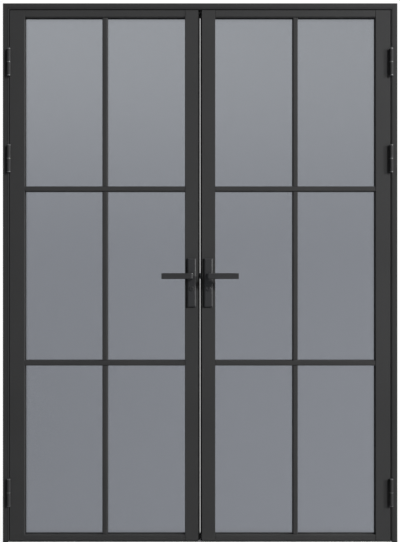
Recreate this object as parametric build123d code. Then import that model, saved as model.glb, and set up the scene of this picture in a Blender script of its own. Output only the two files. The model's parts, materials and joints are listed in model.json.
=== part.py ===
from build123d import *
import os

# A pair of glazed metal French doors in their own frame, all sizes in millimetres.
# X runs across the doorway with 0 at the gap between the leaves. Y runs through it, with 0 at the middle
# of a leaf's thickness and the hinge side at -Y. Z runs up from the underside of the frame.

# Frame
frame_w = 1500.0
frame_h = 2060.0
frame_face = 23.0
frame_back = 40.0  # y of the frame's back face
frame_wall = 3.0
frame_edge = 1.8  # chamfer round the opening
frame_groove_at = 17.0  # from the outer edge
frame_groove = 1.2
stop_lap = 12.0  # how far the stop stands in from the frame's face width
stop_depth = 12.0
fixing_r = 4.0
fixing_y = 17.0
fixing_outer = 250.0  # from the frame's ends
fixing_inner = 770.0
head_fixing_pitch = 750.0
key_leg = 60.0

# Threshold
threshold_h = 14.0
threshold_nose = 30.0  # in front of the leaves
threshold_nose_r = 5.0
threshold_upstand = 12.0
threshold_wall = 2.0
threshold_top = 3.0
threshold_rib = 8.0
threshold_ribs_y = (-10.0, 18.0)
grip_groove = 1.5
grip_groove_depth = 0.8
grip_pitch = 5.0
grip_count = 5

# Leaves
leaf_t = 50.0
edge_gap = 3.0
meet_gap = 1.6
bottom_gap = 4.0
leaf_wall = 3.0
stile_w = 57.0
top_rail_h = 27.0
bottom_rail_h = 21.5
lip_w = 12.0  # fixed lip in front of the glass
lip_depth = 11.0
edge_chamfer = 1.5
meet_bevel = 2.0  # how much narrower the back is, so that both leaves pass
meet_step_w = 6.0  # recess along the front of each meeting edge
meet_step_depth = 15.0

# Glazing bars
bar_w = 20.0
bar_chamfer = 3.0
bar_wall = 3.0
web_t = 6.0
pane_rows = 3
upright_back = 3.0  # how far the uprights stand behind the cross bars

# Glass
glass_t = 8.0
gasket_t = 3.0
glass_edge_gap = 2.0
gasket_hidden = 1.0
bead_chamfer = 3.0

# Seals
seal_w = 6.0
seal_foot_w = 3.0
seal_foot_depth = 2.0
seal_shift = 1.0  # off the middle of the stop
sweep_w = 4.0
sweep_foot = 2.0
sweep_in = 6.0  # behind the leaf's front face
sweep_lean = 4.5  # how far its blade leans out

# Hinges
hinge_up = 184.0  # from the leaf's lower end
hinge_down = 199.0  # from its upper end
hinge_second = 366.0  # below the top hinge
barrel_r = 7.0
barrel_h = 105.0
hinge_cap = 3.0
cap_chamfer = 1.0
hinge_washer = 2.5
pin_r = 3.9
plate_t = 2.0
plate_reach = 34.0  # from the front face into the gap
screw_r = 2.1
screw_head_r = 4.0
screw_len = 12.0
socket_r = 1.7  # of the six-sided sockets in the screw heads, to a corner
socket_depth = 1.2
sill_screw_len = 40.0
screw_in = 12.0  # from the plate's ends

# Levers and backplates
backset = 31.0
lever_z = 1023.0
lever_h = 21.7
lever_t = 9.0
lever_out = 57.0  # from the leaf's face
lever_tip = 112.5  # from the spindle
lever_bend_r = 8.0
lever_inner_r = 3.0
lever_soft = 2.5
neck_w = 12.0
journal_r = 10.0
journal_h = 3.0
journal_sunk = 5.0
backplate_w = 32.0
backplate_h = 184.0
backplate_drop = 117.0  # from the spindle down to the plate's lower end
backplate_t = 9.0
backplate_bevel_w = 4.0
backplate_bevel_t = 2.0
spindle_w = 8.0
spindle_half = 55.0
spindle_pass_r = 7.0
cylinder_r = 9.0
cylinder_drop = 48.0  # below the spindle
cylinder_proud = 3.0
cylinder_chamfer = 0.8
plug_r = 6.2  # of the part that turns with the key
plug_groove = 0.6  # wide and deep
key_slot_w = 2.0
key_slot_h = 8.0
key_slot_depth = 12.0
plate_screw_r = 2.5
plate_screw_head_r = 4.5
plate_screw_in = 10.0  # from each end of the backplate
plate_screw_bite = 5.0

# Lock, bolts and keeps
lock_front_h = 235.0
lock_front_w = 16.0
lock_front_drop = 147.0  # from the spindle down to its lower end
case_t = 15.0
case_wall = 1.2
case_depth = 39.0  # from the meeting edge to the back of the case
case_below = 97.0
case_above = 37.0
latch_h = 22.0
latch_t = 12.0
latch_out = 9.5
latch_in = 12.0
latch_slope = 6.0
dead_bolt_drop = 81.0
dead_bolt_h = 24.0
dead_bolt_len = 25.0
dead_bolt_in = 2.5
pocket_wall = 1.0
latch_pocket = 9.0
dead_pocket = 18.0
gear_case_half = 38.0
thumb_stem_r = 4.0
thumb_w = 24.0
thumb_t = 6.0
thumb_out = 16.0
thumb_sunk = 15.0
rod_r = 5.0
rod_in = 12.0  # from the meeting edge
rod_y = 14.0
rod_out = 12.0
rod_apart = 34.0
keep_w = 40.0
keep_d = 20.0
keep_t = 2.0

# Clearances
seat = 0.3
run = 0.1
slip = 0.15
close = 0.05
joint = 0.4  # where rails and bars butt
over = 1.0  # how far a cut runs past the face it opens

# Places that follow from the sizes
leaf_front = -leaf_t / 2
leaf_rear = leaf_t / 2
meet_floor = leaf_front + meet_step_depth
lip_back = leaf_front + lip_depth
glass_front = lip_back + gasket_t
glass_rear = glass_front + glass_t
bead_front = glass_rear + gasket_t
stop_front = frame_back - stop_depth
sweep_y = leaf_front + sweep_in
jamb_in = frame_w / 2 - frame_face
head_in = frame_h - frame_face
stop_in = jamb_in - stop_lap
leaf_out = -(jamb_in - edge_gap)
leaf_in = -meet_gap / 2
leaf_z0 = threshold_h + bottom_gap
leaf_z1 = head_in - edge_gap
light_x0 = leaf_out + stile_w
light_x1 = leaf_in - stile_w
light_z0 = leaf_z0 + bottom_rail_h
light_z1 = leaf_z1 - top_rail_h
upright_x = (light_x0 + light_x1) / 2
pane_h = (light_z1 - light_z0 - (pane_rows - 1) * bar_w) / pane_rows
lower_bar_z = light_z0 + pane_h + bar_w / 2
upper_bar_z = light_z1 - pane_h - bar_w / 2
threshold_half = jamb_in + frame_wall - seat
threshold_front = leaf_front - threshold_nose
hinge_z = (leaf_z0 + hinge_up, leaf_z1 - hinge_down - hinge_second, leaf_z1 - hinge_down)
plate_h = barrel_h - 2 * hinge_cap
screw_pitch = plate_h / 2 - screw_in
hinge_x = leaf_out - edge_gap / 2
hinge_y = leaf_front - seat - barrel_r
plate_back = leaf_front + plate_reach
spindle_x = leaf_in - backset
cylinder_z = lever_z - cylinder_drop
backplate_z0 = lever_z - backplate_drop
backplate_z1 = backplate_z0 + backplate_h
plate_screw_zs = (backplate_z0 + plate_screw_in, backplate_z1 - plate_screw_in)
plate_screw_len = backplate_t + leaf_t + plate_screw_bite - seat
plate_screw_size = (plate_screw_len, plate_screw_r, plate_screw_head_r, plate_t)
lock_front_z0 = lever_z - lock_front_drop
lock_front_z1 = lock_front_z0 + lock_front_h
dead_bolt_z = lever_z - dead_bolt_drop
rod_x = -leaf_in + rod_in


# Shape helpers


def block(x0, x1, y0, y1, z0, z1):
    """A box between two corners."""
    middle = Pos((x0 + x1) / 2, (y0 + y1) / 2, (z0 + z1) / 2)
    return middle * Box(abs(x1 - x0), abs(y1 - y0), abs(z1 - z0))


def prism_x(points, x0, x1):
    """An outline of (y, z) points drawn along X."""
    wire = Polyline(*[(x0, y, z) for y, z in points], close=True)
    return extrude(make_face(wire), amount=x1 - x0, dir=(1, 0, 0))


def prism_y(points, y0, y1):
    """An outline of (x, z) points drawn along Y."""
    wire = Polyline(*[(x, y0, z) for x, z in points], close=True)
    return extrude(make_face(wire), amount=y1 - y0, dir=(0, 1, 0))


def prism_z(points, z0, z1):
    """An outline of (x, y) points drawn along Z."""
    wire = Polyline(*[(x, y, z0) for x, y in points], close=True)
    return extrude(make_face(wire), amount=z1 - z0, dir=(0, 0, 1))


def round_x(r, x0, x1, y, z):
    """A cylinder along X."""
    return Pos((x0 + x1) / 2, y, z) * Rot(0, 90, 0) * Cylinder(r, abs(x1 - x0))


def round_y(r, x, y0, y1, z):
    """A cylinder along Y."""
    return Pos(x, (y0 + y1) / 2, z) * Rot(90, 0, 0) * Cylinder(r, abs(y1 - y0))


def round_z(r, x, y, z0, z1):
    """A cylinder along Z."""
    return Pos(x, y, (z0 + z1) / 2) * Cylinder(r, abs(z1 - z0))


def screw(place, length, r, head_r, head_h, grow=0.0):
    """A countersunk screw whose head is flush at place and which points along place's Z."""
    low = (Align.CENTER, Align.CENTER, Align.MIN)
    head = Cone(head_r + grow, r + grow, head_h, align=low)
    shank = Cylinder(r + grow, length, align=low)
    return place * (head + shank)


def socket_screw(place, length, r, head_r, head_h):
    """The screw itself, with the socket in its head."""
    socket = extrude(RegularPolygon(socket_r, 6), amount=socket_depth)
    return screw(place, length, r, head_r, head_h) - place * socket


def other_hand(shape):
    """The same piece on the right-hand side."""
    return mirror(shape, about=Plane.YZ)


def save(name, *solids):
    """Write one sub-part, which may be a group of separate solids."""
    shape = solids[0] if len(solids) == 1 else Compound(children=list(solids))
    export_step(shape, f"parts/{name}.step")


# Frame


def frame_outline():
    """Outer and inner outline of the frame's profile: u in from the outer edge, and y."""
    deep = frame_face + stop_lap
    far = frame_groove_at + frame_groove
    outer = [
        (0, leaf_front),
        (frame_groove_at, leaf_front),
        (frame_groove_at, leaf_front + frame_groove),
        (far, leaf_front + frame_groove),
        (far, leaf_front),
        (frame_face - frame_edge, leaf_front),
        (frame_face, leaf_front + frame_edge),
        (frame_face, stop_front),
        (deep, stop_front),
        (deep, frame_back),
        (0, frame_back),
    ]
    w = frame_wall
    inner = [
        (w, leaf_front + w),
        (frame_face - w, leaf_front + w),
        (frame_face - w, stop_front + w),
        (deep - w, stop_front + w),
        (deep - w, frame_back - w),
        (w, frame_back - w),
    ]
    return outer, inner


def seal_outline():
    """A seal's bulb and foot about its own middle: u across, and y from the stop's front."""
    half = seal_w / 2
    foot = seal_foot_w / 2 - run
    tall = stop_front - leaf_rear - seat
    return [
        (-half, 0),
        (-half, -tall / 2),
        (-half / 2, -tall),
        (half / 2, -tall),
        (half, -tall / 2),
        (half, 0),
        (foot, 0),
        (foot, seal_foot_depth - run),
        (-foot, seal_foot_depth - run),
        (-foot, 0),
    ]


def left_half_below_mitre():
    """The space that the left jamb keeps: below a line at 45 degrees from the outer corner."""
    deep = frame_face + stop_lap + over
    x0 = -frame_w / 2
    points = [(x0, 0), (x0, frame_h), (x0 + deep, frame_h - deep), (x0 + deep, 0)]
    return prism_y(points, leaf_front - over, frame_back + over)


def head_above_mitres():
    """The space that the frame head keeps, between the two mitre lines."""
    deep = frame_face + stop_lap + over
    half = frame_w / 2
    points = [
        (-half, frame_h),
        (half, frame_h),
        (half - deep, frame_h - deep),
        (-half + deep, frame_h - deep),
    ]
    return prism_y(points, leaf_front - over, frame_back + over)


seal_u = frame_face + stop_lap / 2 + seal_shift  # middle of the seal, from the frame's outer edge


def seal_groove_points():
    """The groove in the stop's front face that holds the seal's foot."""
    half = seal_foot_w / 2
    deep = stop_front + seal_foot_depth
    return [
        (seal_u - half, stop_front - over),
        (seal_u + half, stop_front - over),
        (seal_u + half, deep),
        (seal_u - half, deep),
    ]


def hinge_recess(z):
    """Where a hinge plate is let into the left jamb."""
    top = z + plate_h / 2 + seat
    low = z - plate_h / 2 - seat
    return block(-jamb_in - plate_t, -jamb_in + over, leaf_front - over, plate_back + seat, low, top)


def hinge_screw_places(z, x, direction):
    """The three screws of a hinge plate, from its face inwards."""
    y = leaf_front + plate_reach / 2
    for k in (-1, 0, 1):
        yield Plane(origin=(x, y, z + k * screw_pitch), z_dir=(direction, 0, 0)).location


def sill_screw_places():
    """The screws that go through the left jamb into the threshold."""
    for y in threshold_ribs_y:
        yield Plane(origin=(-frame_w / 2, y, threshold_h / 2), z_dir=(1, 0, 0)).location


def jamb_fixing_zs():
    """Heights of the four fixings through a jamb."""
    for inset in (fixing_outer, fixing_inner):
        yield inset
        yield frame_h - inset


def jamb_left():
    """Hollow rebated jamb, cut to the mitre, with its hinge recesses and fixing holes."""
    outer, inner = frame_outline()
    x0 = -frame_w / 2
    shape = prism_z([(x0 + u, y) for u, y in outer], 0, frame_h)
    shape -= prism_z([(x0 + u, y) for u, y in inner], -over, frame_h + over)
    shape -= prism_z([(x0 + u, y) for u, y in seal_groove_points()], -over, frame_h + over)
    shape &= left_half_below_mitre()
    foot = -threshold_half - seat
    shape -= block(foot, 0, leaf_front - over, frame_back + over, -over, threshold_h + seat)
    for z in hinge_z:
        shape -= hinge_recess(z)
        for place in hinge_screw_places(z, -jamb_in - plate_t, -1):
            shape -= place * Cylinder(screw_r + slip, 4 * frame_wall)
    for place in sill_screw_places():
        shape -= screw(place, 3 * frame_wall, screw_r, screw_head_r, plate_t, slip)
    for z in jamb_fixing_zs():
        shape -= round_x(fixing_r, x0 - over, x0 + frame_face + over, fixing_y, z)
    return shape


def frame_head():
    """The same profile across the top, with a keep for the fixed leaf's top bolt."""
    outer, inner = frame_outline()
    half = frame_w / 2
    shape = prism_x([(y, frame_h - u) for u, y in outer], -half, half)
    shape -= prism_x([(y, frame_h - u) for u, y in inner], -half - over, half + over)
    shape -= prism_x([(y, frame_h - u) for u, y in seal_groove_points()], -half, half)
    shape &= head_above_mitres()
    shape -= keep_space(head_in + keep_t, head_in - over)
    shape -= round_z(rod_r + seat, rod_x, rod_y, head_in - over, head_in + 2 * frame_wall)
    for x in (-head_fixing_pitch / 2, head_fixing_pitch / 2):
        shape -= round_z(fixing_r, x, fixing_y, head_in - over, frame_h + over)
    return shape


def corner_key():
    """An angle inside the left corner of the hollow frame."""
    u0 = frame_wall + seat
    u1 = frame_face - frame_wall - seat
    x0 = -frame_w / 2
    points = [
        (x0 + u0, frame_h - u0),
        (x0 + u0 + key_leg, frame_h - u0),
        (x0 + u0 + key_leg, frame_h - u1),
        (x0 + u1, frame_h - u1),
        (x0 + u1, frame_h - u0 - key_leg),
        (x0 + u0, frame_h - u0 - key_leg),
    ]
    return prism_y(points, leaf_front + frame_wall + seat, frame_back - frame_wall - seat)


def keep_space(z0, z1):
    """The recess for a bolt keep, seen from its open side."""
    half_w = keep_w / 2 + seat
    half_d = keep_d / 2 + seat
    return block(rod_x - half_w, rod_x + half_w, rod_y - half_d, rod_y + half_d, z0, z1)


def bolt_keep(z0, z1):
    """A keep plate with its bolt hole."""
    half_w = keep_w / 2
    half_d = keep_d / 2
    plate = block(rod_x - half_w, rod_x + half_w, rod_y - half_d, rod_y + half_d, z0, z1)
    return plate - round_z(rod_r + seat, rod_x, rod_y, z0 - over, z1 + over)


def threshold():
    """Hollow sill with a grooved nose and an upstand behind the leaves."""
    half = threshold_half
    top = threshold_h + threshold_upstand
    outline = [
        (threshold_front, 0),
        (frame_back, 0),
        (frame_back, top),
        (stop_front, top),
        (stop_front, threshold_h),
        (threshold_front, threshold_h),
    ]
    shape = prism_x(outline, -half, half)
    nose = shape.edges().filter_by(Axis.X).sort_by_distance((0, threshold_front, threshold_h))[0]
    shape = fillet(nose, threshold_nose_r)
    stop_end = stop_in - seat
    y0 = stop_front - over
    y1 = frame_back + over
    for side in (-1, 1):
        shape -= block(side * stop_end, side * (half + over), y0, y1, threshold_h, top + over)
    for y0, y1 in threshold_chambers():
        low = threshold_wall
        high = threshold_h - threshold_top
        shape -= prism_x([(y0, low), (y1, low), (y1, high), (y0, high)], -half - over, half + over)
    for k in range(grip_count):
        y = threshold_front + threshold_nose_r + (k + 0.5) * grip_pitch
        z0 = threshold_h - grip_groove_depth
        shape -= block(-half - over, half + over, y, y + grip_groove, z0, threshold_h + over)
    groove_z = threshold_h + threshold_upstand / 2 + seal_shift
    shape -= block(
        -half,
        half,
        stop_front - over,
        stop_front + seal_foot_depth,
        groove_z - seal_foot_w / 2,
        groove_z + seal_foot_w / 2,
    )
    shape -= keep_space(threshold_h - keep_t, threshold_h + over)
    shape -= round_z(rod_r + seat, rod_x, rod_y, threshold_wall + over, threshold_h)
    for y in threshold_ribs_y:
        for side in (-1, 1):
            near = side * (half - sill_screw_len)
            shape -= round_x(screw_r + slip, near, side * (half + over), y, threshold_h / 2)
    return shape


def threshold_chambers():
    """The hollows of the sill, as pairs of y."""
    start = threshold_front + threshold_nose_r
    for y in threshold_ribs_y:
        yield start, y - threshold_rib / 2
        start = y + threshold_rib / 2
    yield start, frame_back - threshold_wall


def frame_seals():
    """Left, right, head and threshold seals in their grooves."""
    x0 = -frame_w / 2
    bulb = [(seal_u + u, stop_front + y) for u, y in seal_outline()]
    foot = threshold_h + seat
    left = prism_z([(x0 + u, y) for u, y in bulb], foot, frame_h)
    left &= left_half_below_mitre()
    left -= block(-stop_in, 0, leaf_rear, frame_back, 0, frame_h)
    head = prism_x([(y, frame_h - u) for u, y in bulb], x0, -x0)
    head &= head_above_mitres()
    groove_z = threshold_h + threshold_upstand / 2 + seal_shift
    low_half = stop_in - seat
    low = [(stop_front + y, groove_z + u) for u, y in seal_outline()]
    sill = prism_x(low, -low_half, low_half)
    return left, other_hand(left), head, sill


# Leaves


def edge_in(y):
    """How far a meeting edge stands back at y, behind its step."""
    return meet_bevel * (y - meet_floor) / (leaf_rear - meet_floor)


def leaf_outline(face_w, chamfer, meeting=False):
    """Outer and inner outline of a stile or rail: u in from the leaf's edge, and y."""
    w = leaf_wall
    body = face_w - lip_w
    outer = [
        (face_w - chamfer, leaf_front),
        (face_w, leaf_front + chamfer),
        (face_w, lip_back),
        (body, lip_back),
        (body, leaf_rear),
    ]
    inner = [
        (face_w - w, leaf_front + w),
        (face_w - w, lip_back - w),
        (body - w, lip_back - w),
        (body - w, leaf_rear - w),
    ]
    if not meeting:
        return outer + [(0, leaf_rear), (0, leaf_front)], inner + [(w, leaf_rear - w), (w, leaf_front + w)]
    outer += [(edge_in(leaf_rear), leaf_rear)]
    outer += [(edge_in(meet_floor), meet_floor), (meet_step_w, meet_floor), (meet_step_w, leaf_front)]
    inner += [(w + edge_in(y), y) for y in (leaf_rear - w, meet_floor + w)]
    inner += [(w + meet_step_w, meet_floor + w), (w + meet_step_w, leaf_front + w)]
    return outer, inner


def sweep_groove():
    """The slot along the left leaf's lower edge that holds its sweep seal."""
    half = sweep_w / 2 + slip
    y0, y1 = sweep_y - half, sweep_y + half
    return block(leaf_out - over, leaf_in + over, y0, y1, leaf_z0 - over, leaf_z0 + sweep_foot)


def stile(edge_x, direction, meeting=False):
    """A full-height hollow stile with closed ends, from its edge inwards."""
    outer, inner = leaf_outline(stile_w, edge_chamfer, meeting)
    shape = prism_z([(edge_x + direction * u, y) for u, y in outer], leaf_z0, leaf_z1)
    hollow = [(edge_x + direction * u, y) for u, y in inner]
    shape -= prism_z(hollow, leaf_z0 + leaf_wall, leaf_z1 - leaf_wall)
    return shape - sweep_groove()


def hinge_stile():
    """The left leaf's hinge stile with its plate recesses."""
    shape = stile(leaf_out, 1)
    for z in hinge_z:
        low = z - plate_h / 2 - seat
        high = z + plate_h / 2 + seat
        x0, x1 = leaf_out - over, leaf_out + plate_t
        shape -= block(x0, x1, leaf_front - over, plate_back + seat, low, high)
        for place in hinge_screw_places(z, leaf_out + plate_t, 1):
            shape -= place * Cylinder(screw_r + slip, 4 * leaf_wall)
    return shape


def edge_band(u0, u1, y_half, z0, z1):
    """A length of the left leaf's meeting edge between two depths, which follows its bevel."""

    def x(u, y):
        return leaf_in - u - edge_in(y)

    points = [
        (x(u0, -y_half), -y_half),
        (x(u1, -y_half), -y_half),
        (x(u1, y_half), y_half),
        (x(u0, y_half), y_half),
    ]
    return prism_z(points, z0, z1)


def meeting_stile_base():
    """The left meeting stile with what both leaves need: spindle, cylinder and screw holes."""
    shape = stile(leaf_in, -1, meeting=True)
    through = (leaf_front - over, leaf_rear + over)
    shape -= round_y(spindle_pass_r, spindle_x, *through, lever_z)
    shape -= round_y(cylinder_r + seat, spindle_x, *through, cylinder_z)
    for z in plate_screw_zs:
        shape -= round_y(plate_screw_r + slip, spindle_x, *through, z)
    return shape


def meeting_stile_left():
    """The opening leaf's stile, with the lock let into its edge."""
    shape = meeting_stile_base()
    half = lock_front_w / 2 + seat
    shape -= edge_band(-over, plate_t, half, lock_front_z0 - seat, lock_front_z1 + seat)
    case_half = case_t / 2 + seat
    z0 = lever_z - case_below - seat
    z1 = lever_z + case_above + seat
    shape -= edge_band(-over, case_depth, case_half, z0, z1)
    for place in front_screw_places(-1):
        shape -= place * Cylinder(screw_r + slip, 4 * leaf_wall)
    return shape


def meeting_stile_right():
    """The fixed leaf's stile, with the strike in its edge and holes for the bolt rods."""
    shape = other_hand(meeting_stile_base())
    half = lock_front_w / 2 + seat
    shape -= other_hand(edge_band(-over, plate_t, half, lock_front_z0 - seat, lock_front_z1 + seat))
    for z, tall, deep in strike_pockets():
        grow = pocket_wall + seat
        y_half = latch_t / 2 + seat + grow
        shape -= other_hand(edge_band(-over, deep + grow, y_half, z - tall - grow, z + tall + grow))
    for place in front_screw_places(1):
        shape -= place * Cylinder(screw_r + slip, 4 * leaf_wall)
    for z in (leaf_z0, leaf_z1):
        shape -= round_z(rod_r + seat, rod_x, rod_y, z - 2 * leaf_wall, z + 2 * leaf_wall)
    return shape


def coped_x(points, hollow):
    """A rail or bar across the left leaf: its front stops at the stiles' lips, its back at their sides."""
    x0 = light_x0 - lip_w
    x1 = light_x1 + lip_w
    shape = prism_x(points, x0, x1) - prism_x(hollow, x0 - over, x1 + over)
    for near, far in ((x0 - over, light_x0 + joint), (light_x1 - joint, x1 + over)):
        shape -= block(near, far, leaf_front - over, lip_back, leaf_z0 - over, leaf_z1 + over)
    return shape


def rail(edge_z, direction, face_h):
    """Top or bottom rail, from the leaf's edge inwards."""
    outer, inner = leaf_outline(face_h, bar_chamfer)
    points = [(y, edge_z + direction * u) for u, y in outer]
    hollow = [(y, edge_z + direction * u) for u, y in inner]
    return coped_x(points, hollow)


def bottom_rail():
    """The bottom rail with the groove of its sweep seal."""
    return rail(leaf_z0, 1, bottom_rail_h) - sweep_groove()


def bar_outline(front):
    """Outer and inner outline of a glazing bar, a hollow flange on a web: u from its middle, and y."""
    half = bar_w / 2
    web = web_t / 2
    outer = [
        (-half, front + bar_chamfer),
        (-half + bar_chamfer, front),
        (half - bar_chamfer, front),
        (half, front + bar_chamfer),
        (half, lip_back),
        (web, lip_back),
        (web, leaf_rear),
        (-web, leaf_rear),
        (-web, lip_back),
        (-half, lip_back),
    ]
    w = bar_wall
    inner = [
        (-half + w, front + w),
        (half - w, front + w),
        (half - w, lip_back - w),
        (-half + w, lip_back - w),
    ]
    return outer, inner


def cross_bar(z):
    """A bar from stile to stile."""
    outer, inner = bar_outline(leaf_front)
    return coped_x([(y, z + u) for u, y in outer], [(y, z + u) for u, y in inner])


def light_rows():
    """The three rows of panes: lower wall, lower sight line, upper sight line, upper wall."""
    half = bar_w / 2
    web = web_t / 2
    return [
        (light_z0 - lip_w, light_z0, lower_bar_z - half, lower_bar_z - web),
        (lower_bar_z + web, lower_bar_z + half, upper_bar_z - half, upper_bar_z - web),
        (upper_bar_z + web, upper_bar_z + half, light_z1, light_z1 + lip_w),
    ]


def light_columns():
    """The two columns of panes of the left leaf, in the same order."""
    half = bar_w / 2
    web = web_t / 2
    return [
        (light_x0 - lip_w, light_x0, upright_x - half, upright_x - web),
        (upright_x + web, upright_x + half, light_x1, light_x1 + lip_w),
    ]


def uprights():
    """Three lengths between the rails and the cross bars, a little behind them."""
    outer, inner = bar_outline(leaf_front + upright_back)
    pieces = []
    for wall0, sight0, sight1, wall1 in light_rows():
        shape = prism_z([(upright_x + u, y) for u, y in outer], wall0, wall1)
        shape -= prism_z([(upright_x + u, y) for u, y in inner], wall0 - over, wall1 + over)
        x0, x1 = upright_x - bar_w, upright_x + bar_w
        for near, far in ((wall0 - over, sight0 + joint), (sight1 - joint, wall1 + over)):
            shape -= block(x0, x1, leaf_front - over, lip_back, near, far)
        pieces.append(shape)
    return pieces


def panes():
    """Every pane's place: the column and row that it fills."""
    for column in light_columns():
        for row in light_rows():
            yield column, row


def pane_box(column, row, inset, y0, y1):
    """A box over one pane that stops inset from the walls round it."""
    return block(column[0] + inset, column[3] - inset, y0, y1, row[0] + inset, row[3] - inset)


def glass_panes():
    """Six panes, held between the gaskets."""
    return [pane_box(c, r, glass_edge_gap, glass_front, glass_rear) for c, r in panes()]


def gaskets():
    """A rubber ring in front of and behind each pane, just hidden by the lip and the bead."""
    rings = []
    for c, r in panes():
        for y0, y1 in ((lip_back, glass_front), (glass_rear, bead_front)):
            ring = pane_box(c, r, glass_edge_gap, y0, y1)
            hide = gasket_hidden
            ring -= block(c[1] - hide, c[2] + hide, y0 - over, y1 + over, r[1] - hide, r[2] + hide)
            rings.append(ring)
    return rings


def bead_outline(wall, sight):
    """A bead's section from its wall to the sight line, bevelled at the back."""
    slope = bead_chamfer if sight > wall else -bead_chamfer
    return [
        (bead_front, wall),
        (bead_front, sight),
        (leaf_rear - bead_chamfer, sight),
        (leaf_rear, sight - slope),
        (leaf_rear, wall),
    ]


def beads():
    """Four beads behind each pane: two across, two up between them."""
    pieces = []
    for c, r in panes():
        for wall, sight in ((r[0], r[1]), (r[3], r[2])):
            pieces.append(prism_x(bead_outline(wall, sight), c[0], c[3]))
        for wall, sight in ((c[0], c[1]), (c[3], c[2])):
            section = [(x, y) for y, x in bead_outline(wall, sight)]
            pieces.append(prism_z(section, r[1], r[2]))
    return pieces


def sweep_seal():
    """A strip under the whole leaf, with a blade that leans out and wipes the threshold."""
    foot = sweep_w / 2
    thin = sweep_w / 4
    low = threshold_h + seat
    high = leaf_z0 + sweep_foot
    section = [
        (-foot, high),
        (foot, high),
        (foot, leaf_z0),
        (thin - sweep_lean, low),
        (-thin - sweep_lean, low),
        (-foot, leaf_z0 - seat),
    ]
    points = [(sweep_y + y, z) for y, z in section]
    return prism_x(points, leaf_out + seat, leaf_in - meet_step_w - seat)


# Hinges


def hinge_half(z, face_x, direction, z0, z1):
    """A barrel with its plate, which lies in the edge that faces the gap."""
    bore = round_z(pin_r + run, hinge_x, hinge_y, z0 - over, z1 + over)
    shape = round_z(barrel_r, hinge_x, hinge_y, z0, z1) - bore
    x0 = face_x
    x1 = face_x + direction * plate_t
    low = z - plate_h / 2
    high = z + plate_h / 2
    plate = block(x0, x1, leaf_front, plate_back, low, high)
    neck = block(x0, x1, hinge_y + barrel_r / 2, leaf_front + over, max(low, z0), min(high, z1))
    shape = shape + plate + (neck - bore)
    for place in hinge_screw_places(z, face_x, direction):
        shape -= screw(place, screw_len, screw_r, screw_head_r, plate_t, slip)
    return shape


def frame_hinge_half(z):
    """The lower barrel, carried by the left jamb."""
    low = z - barrel_h / 2 + hinge_cap
    return hinge_half(z, -jamb_in, -1, low, z - hinge_washer / 2)


def leaf_hinge_half(z):
    """The upper barrel, carried by the left leaf."""
    high = z + barrel_h / 2 - hinge_cap - run
    return hinge_half(z, leaf_out, 1, z + hinge_washer / 2 + run, high)


def hinge_pin(z):
    """A pin whose head closes the bottom of the lower barrel and whose end reaches the upper cap."""
    low = z - barrel_h / 2
    head = round_z(barrel_r, hinge_x, hinge_y, low, low + hinge_cap)
    head = chamfer(head.edges().group_by(Axis.Z)[0], cap_chamfer)
    return head + round_z(pin_r, hinge_x, hinge_y, low, z + barrel_h / 2 - hinge_cap)


def hinge_cap_at(z):
    """The cap on the pin's end, over the upper barrel."""
    high = z + barrel_h / 2
    cap = round_z(barrel_r, hinge_x, hinge_y, high - hinge_cap, high)
    return chamfer(cap.edges().group_by(Axis.Z)[-1], cap_chamfer)


def hinge_washer_at(z):
    """The washer that the leaf's barrel turns on."""
    half = hinge_washer / 2
    ring = round_z(barrel_r, hinge_x, hinge_y, z - half, z + half)
    return ring - round_z(pin_r + run, hinge_x, hinge_y, z - hinge_washer, z + hinge_washer)


def hinge_screws(face_x, direction):
    """The screws of the three plates on one side of the gap."""
    screws = []
    for z in hinge_z:
        for place in hinge_screw_places(z, face_x, direction):
            screws.append(socket_screw(place, screw_len, screw_r, screw_head_r, plate_t))
    return screws


def sill_screws():
    """The screws from the left jamb into the threshold."""
    size = (sill_screw_len, screw_r, screw_head_r, plate_t)
    return [socket_screw(place, *size) for place in sill_screw_places()]


# Levers, backplates and cylinders


def backplate(front):
    """A narrow backplate with bevelled edges, bored for the lever and the cylinder."""
    y0 = leaf_front - backplate_t if front else leaf_rear
    half = backplate_w / 2
    x0, x1 = spindle_x - half, spindle_x + half
    shape = block(x0, x1, y0, y0 + backplate_t, backplate_z0, backplate_z1)
    outer = shape.faces().sort_by(Axis.Y)[0 if front else -1]
    shape = chamfer(outer.edges(), backplate_bevel_w, backplate_bevel_t, reference=outer)
    shape -= round_y(journal_r + seat, spindle_x, y0 - over, y0 + backplate_t + over, lever_z)
    shape -= round_y(cylinder_r + seat, spindle_x, y0 - over, y0 + backplate_t + over, cylinder_z)
    for z in plate_screw_zs:
        if front:
            shape -= round_y(plate_screw_r + slip, spindle_x, leaf_front - plate_screw_bite, leaf_front, z)
        else:
            shape -= screw(plate_screw_place(z), *plate_screw_size, slip)
    return shape


def plate_screw_place(z):
    """Where a long screw starts in the back plate, on its way through the leaf into the front plate."""
    return Plane(origin=(spindle_x, leaf_rear + backplate_t, z), z_dir=(0, -1, 0)).location


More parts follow.
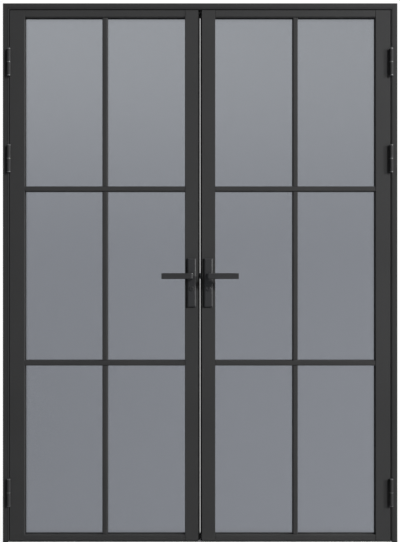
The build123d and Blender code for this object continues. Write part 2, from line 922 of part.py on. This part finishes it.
def lever(front):
    """An angled lever of flat bar with a round journal that turns in the backplate."""
    face = leaf_rear + backplate_t
    out = leaf_rear + lever_out
    half = neck_w / 2
    neck_foot = face + seat + journal_h
    x = spindle_x
    points = [
        (x + half, neck_foot),
        (x + half, out),
        (x - lever_tip, out),
        (x - lever_tip, out - lever_t),
        (x - half, out - lever_t),
        (x - half, neck_foot),
    ]
    shape = prism_z(points, lever_z - lever_h / 2, lever_z + lever_h / 2)
    standing = shape.edges().filter_by(Axis.Z)
    shape = fillet(standing.sort_by_distance((x + half, out, lever_z))[0], lever_bend_r)
    standing = shape.edges().filter_by(Axis.Z)
    shape = fillet(standing.sort_by_distance((x - half, out - lever_t, lever_z))[0], lever_inner_r)
    edges = shape.edges().filter_by(lambda e: e.center().Y > out - lever_t / 2)
    edges = edges.filter_by(lambda e: abs(e.center().Z - lever_z) > lever_h / 4)
    shape = fillet(edges, lever_soft)
    shape += round_y(journal_r, x, face - journal_sunk, neck_foot, lever_z)
    square = spindle_w / 2 + close
    shape -= block(x - square, x + square, 0, spindle_half + seat, lever_z - square, lever_z + square)
    return mirror(shape, about=Plane.XZ) if front else shape


def spindle():
    """The square bar that joins the two levers of a leaf."""
    half = spindle_w / 2
    x0, x1 = spindle_x - half, spindle_x + half
    return block(x0, x1, -spindle_half, spindle_half, lever_z - half, lever_z + half)


def cylinder(with_thumbturn):
    """A round cylinder through the leaf, with a key slot in front and behind or a stem's bore behind."""
    y = leaf_rear + backplate_t + cylinder_proud
    shape = round_y(cylinder_r, spindle_x, -y, y, cylinder_z)
    shape = chamfer(shape.edges().filter_by(GeomType.CIRCLE), cylinder_chamfer)
    ring = round_y(plug_r + plug_groove, spindle_x, -y - over, y + over, cylinder_z)
    ring -= round_y(plug_r, spindle_x, -y - over, y + over, cylinder_z)
    shape -= ring - block(-frame_w, 0, plug_groove - y, y - plug_groove, 0, frame_h)
    half_w = key_slot_w / 2
    half_h = key_slot_h / 2
    x, z = spindle_x, cylinder_z
    shape -= block(x - half_w, x + half_w, -y - over, -y + key_slot_depth, z - half_h, z + half_h)
    if with_thumbturn:
        shape -= round_y(thumb_stem_r + run, x, y - thumb_sunk - seat, y + over, z)
    else:
        shape -= block(x - half_w, x + half_w, y - key_slot_depth, y + over, z - half_h, z + half_h)
    return shape


def thumbturn():
    """A flat wing on a round stem, upright when the dead bolt is drawn."""
    y = leaf_rear + backplate_t + cylinder_proud
    x, z = spindle_x, cylinder_z
    half_t = thumb_t / 2
    half_w = thumb_w / 2
    wing = block(x - half_t, x + half_t, y + seat, y + thumb_out, z - half_w, z + half_w)
    wing = fillet(wing.edges().filter_by(Axis.X), half_t)
    return wing + round_y(thumb_stem_r, x, y - thumb_sunk, y + thumb_out / 2, z)


# Lock, bolts and strike


def front_screw_places(side):
    """The two screws of the lock's front (side -1) or of the strike (side 1)."""
    for z in (lock_front_z0 + plate_screw_in, lock_front_z1 - plate_screw_in):
        x = -side * (leaf_in - edge_in(0))
        yield Plane(origin=(x, 0, z), z_dir=(side, 0, 0)).location


def lock_case():
    """A mortise lock: its front, flush with the bevelled edge, and the hollow case behind it."""
    front = edge_band(0, plate_t, lock_front_w / 2, lock_front_z0, lock_front_z1)
    half = case_t / 2
    x0 = leaf_in - case_depth
    x1 = leaf_in - meet_bevel
    z0 = lever_z - case_below
    z1 = lever_z + case_above
    case = block(x0, x1, -half, half, z0, z1)
    w = case_wall
    hollow_x1 = x1 - 2 * leaf_wall
    case -= block(x0 + w, hollow_x1, -half + w, half - w, z0 + w, z1 - w)
    shape = front + case
    for z, tall in ((lever_z, latch_h), (dead_bolt_z, dead_bolt_h)):
        y_half = latch_t / 2 + run
        z_half = tall / 2 + run
        shape -= block(hollow_x1 - over, 0, -y_half, y_half, z - z_half, z + z_half)
    shape -= round_y(spindle_pass_r, spindle_x, -case_t, case_t, lever_z)
    shape -= round_y(cylinder_r + seat, spindle_x, -case_t, case_t, cylinder_z)
    for place in front_screw_places(-1):
        shape -= screw(place, screw_len, screw_r, screw_head_r, plate_t, slip)
    return shape


def latch_bolt():
    """The sprung latch, sloped on the side that meets the strike as the leaf closes."""
    half = latch_t / 2
    tip = leaf_in + latch_out
    points = [
        (leaf_in - latch_in, -half),
        (tip, -half),
        (tip, 0),
        (tip - latch_slope, half),
        (leaf_in - latch_in, half),
    ]
    return prism_z(points, lever_z - latch_h / 2, lever_z + latch_h / 2)


def dead_bolt():
    """A square bolt, drawn back into the lock."""
    x1 = leaf_in - dead_bolt_in
    half = latch_t / 2
    z_half = dead_bolt_h / 2
    return block(x1 - dead_bolt_len, x1, -half, half, dead_bolt_z - z_half, dead_bolt_z + z_half)


def strike_pockets():
    """Height, half height and depth of the two pockets in the strike."""
    yield lever_z, latch_h / 2 + seat, latch_pocket
    yield dead_bolt_z, dead_bolt_h / 2 + seat, dead_pocket


def strike_plate():
    """The strike in the right meeting edge, with a closed pocket for each bolt."""
    shape = edge_band(0, plate_t, lock_front_w / 2, lock_front_z0, lock_front_z1)
    y_half = latch_t / 2 + seat
    w = pocket_wall
    for z, tall, deep in strike_pockets():
        x0, x1 = leaf_in - deep - w, leaf_in - meet_bevel
        shape += block(x0, x1, -y_half - w, y_half + w, z - tall - w, z + tall + w)
    for z, tall, deep in strike_pockets():
        shape -= block(leaf_in - deep, 0, -y_half, y_half, z - tall, z + tall)
    shape = other_hand(shape)
    for place in front_screw_places(1):
        shape -= screw(place, screw_len, screw_r, screw_head_r, plate_t, slip)
    return shape


def gear_case():
    """The small case in the fixed leaf whose follower draws both rods."""
    half = case_t / 2
    x0 = leaf_in - case_depth
    x1 = leaf_in - latch_pocket - pocket_wall
    z0, z1 = lever_z - gear_case_half, lever_z + gear_case_half
    shape = block(x0, x1, -half, half, z0, z1)
    w = case_wall
    shape -= block(x0 + w, x1 - w, -half + w, half - w, z0 + w, z1 - w)
    shape -= round_y(spindle_pass_r, spindle_x, -case_t, case_t, lever_z)
    return other_hand(shape)


def shoot_bolt(upper):
    """A rod inside the right meeting stile that runs out into a keep."""
    if upper:
        return round_z(rod_r, rod_x, rod_y, lever_z + rod_apart / 2, leaf_z1 + rod_out)
    return round_z(rod_r, rod_x, rod_y, leaf_z0 - rod_out, lever_z - rod_apart / 2)


# Writing


def save_both(name, shapes):
    """Write the same sub-part for the left leaf and, in the other hand, for the right leaf."""
    save(f"left_{name}", *shapes)
    save(f"right_{name}", *[other_hand(shape) for shape in shapes])


def write_frame():
    """Everything that stays fixed in the wall."""
    left_halves = [frame_hinge_half(z) for z in hinge_z]
    pins = [hinge_pin(z) for z in hinge_z] + [hinge_cap_at(z) for z in hinge_z]
    washers = [hinge_washer_at(z) for z in hinge_z]
    screws = hinge_screws(-jamb_in, -1) + sill_screws()
    left = jamb_left()
    save("jamb_left", left)
    save("jamb_right", other_hand(left))
    save("frame_head", frame_head())
    save("threshold", threshold())
    save("frame_seals", *frame_seals())
    save("corner_keys", corner_key(), other_hand(corner_key()))
    save("hinge_frame_halves_left", *left_halves)
    save("hinge_frame_halves_right", *[other_hand(s) for s in left_halves])
    save("hinge_pins", *pins, *[other_hand(s) for s in pins])
    save("hinge_washers", *washers, *[other_hand(s) for s in washers])
    save("frame_screws", *screws, *[other_hand(s) for s in screws])
    low_keep = bolt_keep(threshold_h - keep_t, threshold_h)
    save("bolt_keeps", bolt_keep(head_in, head_in + keep_t), low_keep)


def write_leaves():
    """What both leaves have."""
    save_both("hinge_stile", [hinge_stile()])
    save("left_meeting_stile", meeting_stile_left())
    save("right_meeting_stile", meeting_stile_right())
    save_both("top_rail", [rail(leaf_z1, -1, top_rail_h)])
    save_both("bottom_rail", [bottom_rail()])
    save_both("upper_bar", [cross_bar(upper_bar_z)])
    save_both("lower_bar", [cross_bar(lower_bar_z)])
    save_both("uprights", uprights())
    save_both("glass_panes", glass_panes())
    save_both("glazing_gaskets", gaskets())
    save_both("glazing_beads", beads())
    save_both("sweep_seal", [sweep_seal()])
    save_both("hinge_halves", [leaf_hinge_half(z) for z in hinge_z])
    save_both("front_plate", [backplate(True)])
    save_both("back_plate", [backplate(False)])
    plate_screws = [socket_screw(plate_screw_place(z), *plate_screw_size) for z in plate_screw_zs]
    save_both("plate_screws", plate_screws)
    save_both("front_lever", [lever(True)])
    save_both("back_lever", [lever(False)])
    save_both("spindle", [spindle()])


def write_locks():
    """What differs between the leaves: the lock, the strike and the bolts."""
    leaf_hinge_screws = hinge_screws(leaf_out, 1)
    size = (screw_len, screw_r, screw_head_r, plate_t)
    lock_screws = [socket_screw(place, *size) for place in front_screw_places(-1)]
    strike_screws = [socket_screw(place, *size) for place in front_screw_places(1)]
    save("left_leaf_screws", *leaf_hinge_screws, *lock_screws)
    save("right_leaf_screws", *[other_hand(s) for s in leaf_hinge_screws], *strike_screws)
    save("left_cylinder", cylinder(True))
    save("right_cylinder", other_hand(cylinder(False)))
    save("lock_case", lock_case())
    save("latch_bolt", latch_bolt())
    save("dead_bolt", dead_bolt())
    save("thumbturn", thumbturn())
    save("gear_case", gear_case())
    save("strike_plate", strike_plate())
    save("top_shoot_bolt", shoot_bolt(True))
    save("bottom_shoot_bolt", shoot_bolt(False))


os.makedirs("parts", exist_ok=True)
write_frame()
write_leaves()
write_locks()
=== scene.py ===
import json
import math

import bmesh
import bpy
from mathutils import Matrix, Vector

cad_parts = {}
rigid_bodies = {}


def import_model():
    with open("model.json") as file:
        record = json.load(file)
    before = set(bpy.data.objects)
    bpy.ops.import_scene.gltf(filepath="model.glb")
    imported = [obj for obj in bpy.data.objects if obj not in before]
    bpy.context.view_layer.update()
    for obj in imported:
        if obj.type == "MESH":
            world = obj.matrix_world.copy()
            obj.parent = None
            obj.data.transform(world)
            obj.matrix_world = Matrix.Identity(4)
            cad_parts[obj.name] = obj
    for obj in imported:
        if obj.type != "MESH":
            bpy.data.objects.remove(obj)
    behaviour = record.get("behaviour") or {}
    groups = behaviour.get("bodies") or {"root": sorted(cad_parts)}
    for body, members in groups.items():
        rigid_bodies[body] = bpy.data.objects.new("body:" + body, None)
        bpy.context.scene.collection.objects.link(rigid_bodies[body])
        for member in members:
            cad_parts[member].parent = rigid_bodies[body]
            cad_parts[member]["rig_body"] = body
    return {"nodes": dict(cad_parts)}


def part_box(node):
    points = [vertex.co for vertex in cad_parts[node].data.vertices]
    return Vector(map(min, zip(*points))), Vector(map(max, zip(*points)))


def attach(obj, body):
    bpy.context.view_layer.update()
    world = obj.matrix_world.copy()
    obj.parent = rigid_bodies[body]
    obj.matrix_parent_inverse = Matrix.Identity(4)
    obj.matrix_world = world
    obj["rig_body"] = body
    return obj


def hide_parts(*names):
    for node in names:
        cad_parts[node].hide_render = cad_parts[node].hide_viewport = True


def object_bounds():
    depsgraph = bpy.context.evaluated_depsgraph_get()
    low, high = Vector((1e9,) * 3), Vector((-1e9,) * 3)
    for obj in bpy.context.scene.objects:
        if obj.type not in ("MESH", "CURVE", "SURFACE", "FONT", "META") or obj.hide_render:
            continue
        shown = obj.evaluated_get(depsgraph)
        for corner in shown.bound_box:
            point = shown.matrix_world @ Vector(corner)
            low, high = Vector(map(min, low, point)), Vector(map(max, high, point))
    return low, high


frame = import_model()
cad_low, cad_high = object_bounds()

# Camera, all lengths in metres
front_y = -0.025  # the leaves' front face
camera_distance = 2.75
camera_height = 1.0421
camera_aside = -0.0004  # against the middle of the doors
view_width = 1.521  # how much of the front plane fills the picture's width
sensor = 36.0

# Lamps: place, size in metres and power in watts
key_lamp = ((6.5, -7.2, 6.3), 0.8, 850.0)
back_lamp = ((-5.0, 9.0, 2.8), 2.0, 1000.0)
side_lamp = ((7.5, -3.8, 3.2), 1.2, 500.0)

# Surroundings
sky_level = 0.05  # what they add on a matt surface
low_gloss = (0.347, 0.365, 0.403)  # what gloss sees in front of the doors, low down
high_gloss = (0.48, 0.503, 0.538)  # and high up
gloss_rise = (0.0, 0.34)  # between these two slopes
low_lean = 0.31  # how much brighter that grows to the right, low down
high_lean = -0.14  # and high up
lean_rise = (-0.2, 0.31)  # between these two slopes
back_gloss = (0.46, 0.48, 0.515)  # what gloss sees behind the doors
back_turn = (0.0, 0.5)  # between these two directions through the doorway

# Floor
floor_size = 40.0
floor_reach = 0.6  # how far from the doors the floor turns white to the eye
floor_white = 0.92  # how white it is close to them
floor_glow = 0.995  # and the strength of that white
floor_bounce = ((0.5, 0.5, 0.5), (0.54, 0.54, 0.54))  # tones for the light that it sends back
floor_shown = ((0.93, 0.93, 0.93), (0.96, 0.96, 0.96))  # tones for the eye, where the shadow lies

# Finishes
coat_colour = (0.041, 0.0412, 0.0416)
frame_tone = 0.88  # share by which the frame's coat is made darker than the leaves'
handle_colour = (0.021, 0.0211, 0.0217)
coat_look = (0.6, 700.0, 0.05)  # roughness, fineness of the grain, gloss
handle_look = (0.4, 1100.0, 0.45)
peel_depth = 0.00012
rubber_colour = (0.012, 0.012, 0.013)
steel_colour = (0.36, 0.36, 0.355)
dull_colour = (0.17, 0.17, 0.168)
sill_colour = (0.64, 0.635, 0.635)
fine_depth = 0.0001  # of the relief of rubber and metal
glass_tint_low_shaded = (0.31, 0.32, 0.34)  # tint of one face of a pane at the bottom, darker than at the top as painted shade
# tint at the top: painted light, lighter for the brighter room that the panes reflect high up
glass_tint_high_lit = (0.33, 0.34, 0.355)
glass_mirror = 0.55  # share that one face mirrors, seen straight on
glass_rough = 0.02
glass_ior = 1.5
glass_facing = 0.04  # what Fresnel gives, seen straight on

# Soft edges of what was cut, folded and pressed
edge_soft = 0.0005
meeting_soft = 0.00015
flat_angle = math.radians(1.0)
sharp_angle = math.radians(24.0)
crease_angle = math.radians(50.0)

nodes = frame["nodes"]
door_low, door_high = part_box("left_hinge_stile")


# Materials


def tree_of(name):
    """A new material with its node tree and its shader."""
    material = bpy.data.materials.new(name)
    material.use_nodes = True
    tree = material.node_tree
    shader = tree.nodes["Principled BSDF"]
    return material, tree, shader


def place_of(tree, stretch=(1, 1, 1)):
    """The place on the piece itself, stretched for grain."""
    coordinates = tree.nodes.new("ShaderNodeTexCoord")
    mapping = tree.nodes.new("ShaderNodeMapping")
    mapping.inputs["Scale"].default_value = stretch
    tree.links.new(coordinates.outputs["Object"], mapping.inputs["Vector"])
    return mapping.outputs["Vector"]


def noise(tree, place, scale, detail=2.0, roughness=0.5):
    """Noise of one size over the piece."""
    node = tree.nodes.new("ShaderNodeTexNoise")
    node.inputs["Scale"].default_value = scale
    node.inputs["Detail"].default_value = detail
    node.inputs["Roughness"].default_value = roughness
    tree.links.new(place, node.inputs["Vector"])
    return node.outputs["Fac"]


def spread(tree, value, low, high, from_low=0.3, from_high=0.7):
    """A value moved into another range."""
    node = tree.nodes.new("ShaderNodeMapRange")
    node.inputs["From Min"].default_value = from_low
    node.inputs["From Max"].default_value = from_high
    node.inputs["To Min"].default_value = low
    node.inputs["To Max"].default_value = high
    tree.links.new(value, node.inputs["Value"])
    return node.outputs["Result"]


def between(tree, share, low, high):
    """A colour between two colours, each one plain or made by nodes."""
    node = tree.nodes.new("ShaderNodeMix")
    node.data_type = "RGBA"
    for socket, colour in ((node.inputs["A"], low), (node.inputs["B"], high)):
        if isinstance(colour, tuple):
            socket.default_value = (*colour, 1)
        else:
            tree.links.new(colour, socket)
    tree.links.new(share, node.inputs["Factor"])
    return node.outputs["Result"]


def bump(tree, shader, height, strength, distance):
    """Fine relief on a shader."""
    node = tree.nodes.new("ShaderNodeBump")
    node.inputs["Strength"].default_value = strength
    node.inputs["Distance"].default_value = distance
    tree.links.new(height, node.inputs["Height"])
    tree.links.new(node.outputs["Normal"], shader.inputs["Normal"])


def arithmetic(tree, operation, first, second=0.0):
    """One step of arithmetic, on values or plain numbers."""
    node = tree.nodes.new("ShaderNodeMath")
    node.operation = operation
    for socket, value in zip(node.inputs, (first, second)):
        if isinstance(value, (int, float)):
            socket.default_value = value
        else:
            tree.links.new(value, socket)
    return node.outputs["Value"]


def scaled(colour, share):
    """A colour made lighter or darker."""
    return tuple(c * share for c in colour)


def powder_coat(name, colour, rough, grain, gloss):
    """Matt or satin powder coat: fine orange peel, with faint clouds in tone."""
    material, tree, shader = tree_of(name)
    place = place_of(tree)
    clouds = spread(tree, noise(tree, place, 3.0, 3.0), 0, 1)
    colours = between(tree, clouds, scaled(colour, 0.95), scaled(colour, 1.05))
    tree.links.new(colours, shader.inputs["Base Color"])
    peel = noise(tree, place, grain, 3.0, 0.6)
    roughness = spread(tree, peel, rough - 0.05, rough + 0.05)
    tree.links.new(roughness, shader.inputs["Roughness"])
    shader.inputs["Specular IOR Level"].default_value = gloss
    bump(tree, shader, peel, 0.35, peel_depth)
    return material


def rubber(name):
    """Matt black rubber with a faint bloom."""
    material, tree, shader = tree_of(name)
    place = place_of(tree)
    bloom = spread(tree, noise(tree, place, 60.0, 4.0), 0, 1)
    colours = between(tree, bloom, scaled(rubber_colour, 0.8), scaled(rubber_colour, 1.3))
    tree.links.new(colours, shader.inputs["Base Color"])
    shader.inputs["Roughness"].default_value = 0.7
    shader.inputs["Specular IOR Level"].default_value = 0.3
    bump(tree, shader, noise(tree, place, 900.0), 0.2, fine_depth)
    return material


def brushed(name, colour, rough, stretch, metallic=1.0):
    """Bare metal with its grain along one way."""
    material, tree, shader = tree_of(name)
    grain = noise(tree, place_of(tree, stretch), 90.0, 4.0, 0.65)
    colours = between(tree, spread(tree, grain, 0, 1), scaled(colour, 0.85), scaled(colour, 1.1))
    tree.links.new(colours, shader.inputs["Base Color"])
    tree.links.new(spread(tree, grain, rough - 0.07, rough + 0.07), shader.inputs["Roughness"])
    shader.inputs["Metallic"].default_value = metallic
    bump(tree, shader, grain, 0.25, fine_depth)
    return material


def tinted_glass(name):
    """Grey solar glass, that mirrors the room in front and lets a little through from behind; its tint is
    painted lighter towards the top, as painted light.
    """
    material, tree, shader = tree_of(name)
    tree.nodes.remove(shader)
    output = tree.nodes["Material Output"]
    coordinates = tree.nodes.new("ShaderNodeTexCoord")
    axes = tree.nodes.new("ShaderNodeSeparateXYZ")
    tree.links.new(coordinates.outputs["Object"], axes.inputs["Vector"])
    # painted light: the tint grows lighter from the foot of the doors to their top
    height = spread(tree, axes.outputs["Z"], 0, 1, door_low.z, door_high.z)
    clear = tree.nodes.new("ShaderNodeBsdfTransparent")
    tree.links.new(between(tree, height, glass_tint_low_shaded, glass_tint_high_lit), clear.inputs["Color"])
    shine = tree.nodes.new("ShaderNodeBsdfGlossy")
    shine.inputs["Color"].default_value = (1, 1, 1, 1)
    shine.inputs["Roughness"].default_value = glass_rough
    fresnel = tree.nodes.new("ShaderNodeFresnel")
    fresnel.inputs["IOR"].default_value = glass_ior
    mix = tree.nodes.new("ShaderNodeMixShader")
    share = spread(tree, fresnel.outputs["Fac"], glass_mirror, 1, glass_facing, 1)
    tree.links.new(share, mix.inputs["Fac"])
    tree.links.new(clear.outputs["BSDF"], mix.inputs[1])
    tree.links.new(shine.outputs["BSDF"], mix.inputs[2])
    tree.links.new(mix.outputs["Shader"], output.inputs["Surface"])
    return material


finishes = {
    "anthracite": powder_coat("anthracite_coat", coat_colour, *coat_look),
    "handle_black": powder_coat("handle_coat", handle_colour, *handle_look),
    "grey_glass": tinted_glass("grey_glass"),
    "black_rubber": rubber("black_rubber"),
    "bright_steel": brushed("bright_steel", steel_colour, 0.5, (1, 1, 12)),
    "sill_aluminium": brushed("mill_aluminium", sill_colour, 0.42, (0.05, 6, 6), 0.5),
}

# Nodes that differ a little from their slot's finish
dull_steel = brushed("dull_steel", dull_colour, 0.55, (1, 1, 12))
frame_coat = powder_coat("frame_coat", scaled(coat_colour, frame_tone), *coat_look)
own_finishes = {
    "hinge_pins": dull_steel,
    "hinge_washers": dull_steel,
    "jamb_left": frame_coat,
    "jamb_right": frame_coat,
    "frame_head": frame_coat,
}

steel_nodes = [
    "hinge_pins",
    "hinge_washers",
    "frame_screws",
    "bolt_keeps",
    "left_plate_screws",
    "right_plate_screws",
    "left_leaf_screws",
    "right_leaf_screws",
    "left_spindle",
    "right_spindle",
    "lock_case",
    "gear_case",
    "strike_plate",
    "latch_bolt",
    "dead_bolt",
    "top_shoot_bolt",
    "bottom_shoot_bolt",
]
handle_words = ("lever", "front_plate", "back_plate", "cylinder", "thumbturn")


def slot_of(node):
    """The slot of a node, by its name."""
    if node in steel_nodes:
        return "bright_steel"
    if node in ("threshold", "corner_keys"):
        return "sill_aluminium"
    if "glass" in node:
        return "grey_glass"
    if "gasket" in node or "seal" in node:
        return "black_rubber"
    if any(word in node for word in handle_words):
        return "handle_black"
    return "anthracite"


# Pieces


def soften(node, width):
    """A copy of a rigid node with its flat faces whole and its sharp edges eased, in the node's place."""
    source = nodes[node]
    mesh = bmesh.new()
    mesh.from_mesh(source.data)
    bmesh.ops.remove_doubles(mesh, verts=mesh.verts, dist=1e-6)
    bmesh.ops.dissolve_limit(mesh, angle_limit=flat_angle, verts=mesh.verts, edges=mesh.edges)
    sharp = [e for e in mesh.edges if len(e.link_faces) == 2 and e.calc_face_angle() > sharp_angle]
    bmesh.ops.bevel(
        mesh,
        geom=sharp,
        offset=width,
        segments=2,
        profile=0.5,
        affect="EDGES",
        clamp_overlap=True,
    )
    for face in mesh.faces:
        face.smooth = True
    data = bpy.data.meshes.new(node + "_soft")
    mesh.to_mesh(data)
    mesh.free()
    piece = bpy.data.objects.new(node + "_soft", data)
    bpy.context.scene.collection.objects.link(piece)
    data.set_sharp_from_angle(angle=crease_angle)
    even = piece.modifiers.new("even_flats", "WEIGHTED_NORMAL")
    even.keep_sharp = True
    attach(piece, source["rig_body"])
    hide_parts(node)
    return piece


soft_nodes = [
    "jamb_left",
    "jamb_right",
    "frame_head",
    "threshold",
    "hinge_frame_halves_left",
    "hinge_frame_halves_right",
]
for side in ("left", "right"):
    for part in (
        "hinge_stile",
        "meeting_stile",
        "top_rail",
        "bottom_rail",
        "upper_bar",
        "lower_bar",
        "uprights",
        "hinge_halves",
        "front_plate",
        "back_plate",
        "front_lever",
        "back_lever",
        "cylinder",
    ):
        soft_nodes.append(f"{side}_{part}")

for name, node in sorted(nodes.items()):
    finish = slot_of(name)
    piece = node
    if name in soft_nodes:
        piece = soften(name, meeting_soft if "meeting_stile" in name else edge_soft)
    piece.data.materials.clear()
    piece.data.materials.append(own_finishes.get(name, finishes[finish]))


# Stage


def seen_only(tree, shade, seen, output):
    """Shows one shader to the eye and through glass, and lights with another; gives the kind of ray."""
    path = tree.nodes.new("ShaderNodeLightPath")
    eye = arithmetic(tree, "MAXIMUM", path.outputs["Is Camera Ray"], path.outputs["Is Transmission Ray"])
    mix = tree.nodes.new("ShaderNodeMixShader")
    tree.links.new(eye, mix.inputs["Fac"])
    tree.links.new(shade, mix.inputs[1])
    tree.links.new(seen, mix.inputs[2])
    tree.links.new(mix.outputs["Shader"], output)
    return path


def surroundings():
    """White to the eye; on the doors a low even light, and for gloss a grey that grows lighter upwards."""
    world = bpy.data.worlds.new("studio")
    bpy.context.scene.world = world
    world.use_nodes = True
    tree = world.node_tree
    output = tree.nodes["World Output"]
    even = tree.nodes["Background"]
    even.inputs["Color"].default_value = (1, 1, 1, 1)
    even.inputs["Strength"].default_value = sky_level
    white = tree.nodes.new("ShaderNodeBackground")
    white.inputs["Color"].default_value = (1, 1, 1, 1)
    coordinates = tree.nodes.new("ShaderNodeTexCoord")
    axes = tree.nodes.new("ShaderNodeSeparateXYZ")
    tree.links.new(coordinates.outputs["Generated"], axes.inputs["Vector"])
    rise = spread(tree, axes.outputs["Z"], 0, 1, *gloss_rise)
    rise.node.interpolation_type = "SMOOTHSTEP"
    lean = spread(tree, axes.outputs["Z"], low_lean, high_lean, *lean_rise)
    sideways = arithmetic(tree, "MULTIPLY", axes.outputs["X"], lean)
    behind = spread(tree, axes.outputs["Y"], 0, 1, *back_turn)
    ahead = between(tree, rise, low_gloss, high_gloss)
    around = between(tree, behind, ahead, back_gloss)
    glossy = tree.nodes.new("ShaderNodeBackground")
    tree.links.new(around, glossy.inputs["Color"])
    tree.links.new(arithmetic(tree, "ADD", sideways, 1.0), glossy.inputs["Strength"])
    first = tree.nodes.new("ShaderNodeMixShader")
    path = seen_only(tree, first.outputs["Shader"], white.outputs["Background"], output.inputs["Surface"])
    tree.links.new(path.outputs["Is Glossy Ray"], first.inputs["Fac"])
    tree.links.new(even.outputs["Background"], first.inputs[1])
    tree.links.new(glossy.outputs["Background"], first.inputs[2])


def far_from_doors(tree, place):
    """How far a point of the floor lies from the doors' foot."""
    axes = tree.nodes.new("ShaderNodeSeparateXYZ")
    tree.links.new(place, axes.inputs["Vector"])
    across = arithmetic(tree, "ABSOLUTE", axes.outputs["X"])
    beside = arithmetic(tree, "SUBTRACT", across, cad_high.x)
    aside = arithmetic(tree, "MAXIMUM", beside, 0.0)
    first = arithmetic(tree, "MULTIPLY", aside, aside)
    second = arithmetic(tree, "MULTIPLY", axes.outputs["Y"], axes.outputs["Y"])
    return arithmetic(tree, "SQRT", arithmetic(tree, "ADD", first, second))


def floor():
    """A plain pale floor that keeps the doors' shadow near them and is white further off."""
    mesh = bmesh.new()
    bmesh.ops.create_grid(mesh, x_segments=8, y_segments=8, size=floor_size)
    data = bpy.data.meshes.new("floor")
    mesh.to_mesh(data)
    mesh.free()
    piece = bpy.data.objects.new("floor", data)
    bpy.context.scene.collection.objects.link(piece)
    piece.visible_glossy = False
    material, tree, shader = tree_of("pale_floor")
    place = place_of(tree)
    mottle = spread(tree, noise(tree, place, 1.5, 3.0), 0, 1)
    tree.links.new(between(tree, mottle, *floor_bounce), shader.inputs["Base Color"])
    shader.inputs["Roughness"].default_value = 0.9
    shader.inputs["Specular IOR Level"].default_value = 0.1
    lit = tree.nodes.new("ShaderNodeBsdfDiffuse")
    tree.links.new(between(tree, mottle, *floor_shown), lit.inputs["Color"])
    white = tree.nodes.new("ShaderNodeEmission")
    white.inputs["Strength"].default_value = floor_glow
    away = far_from_doors(tree, place)
    blend = tree.nodes.new("ShaderNodeMixShader")
    tree.links.new(spread(tree, away, floor_white, 1, 0.0, floor_reach), blend.inputs["Fac"])
    tree.links.new(lit.outputs["BSDF"], blend.inputs[1])
    tree.links.new(white.outputs["Emission"], blend.inputs[2])
    output = tree.nodes["Material Output"]
    seen_only(tree, shader.outputs["BSDF"], blend.outputs["Shader"], output.inputs["Surface"])
    data.materials.append(material)


def lamp(name, target, place, size, power):
    """A square soft lamp turned to a point."""
    data = bpy.data.lights.new(name, "AREA")
    data.shape = "SQUARE"
    data.size = size
    data.energy = power
    piece = bpy.data.objects.new(name, data)
    bpy.context.scene.collection.objects.link(piece)
    piece.location = place
    piece.rotation_euler = (Vector(target) - Vector(place)).to_track_quat("-Z", "Y").to_euler()


def camera():
    """Straight on, level with the middle of the doors."""
    data = bpy.data.cameras.new("camera")
    data.sensor_fit = "HORIZONTAL"
    data.sensor_width = sensor
    data.lens = sensor * camera_distance / view_width
    piece = bpy.data.objects.new("camera", data)
    bpy.context.scene.collection.objects.link(piece)
    piece.location = (camera_aside, front_y - camera_distance, camera_height)
    piece.rotation_euler = (math.radians(90), 0, 0)
    bpy.context.scene.camera = piece


surroundings()
floor()
middle = (cad_low + cad_high) / 2
lamp("key", middle, *key_lamp)
lamp("back", middle, *back_lamp)
lamp("side", middle, *side_lamp)
camera()
bpy.context.scene.view_settings.view_transform = "Standard"
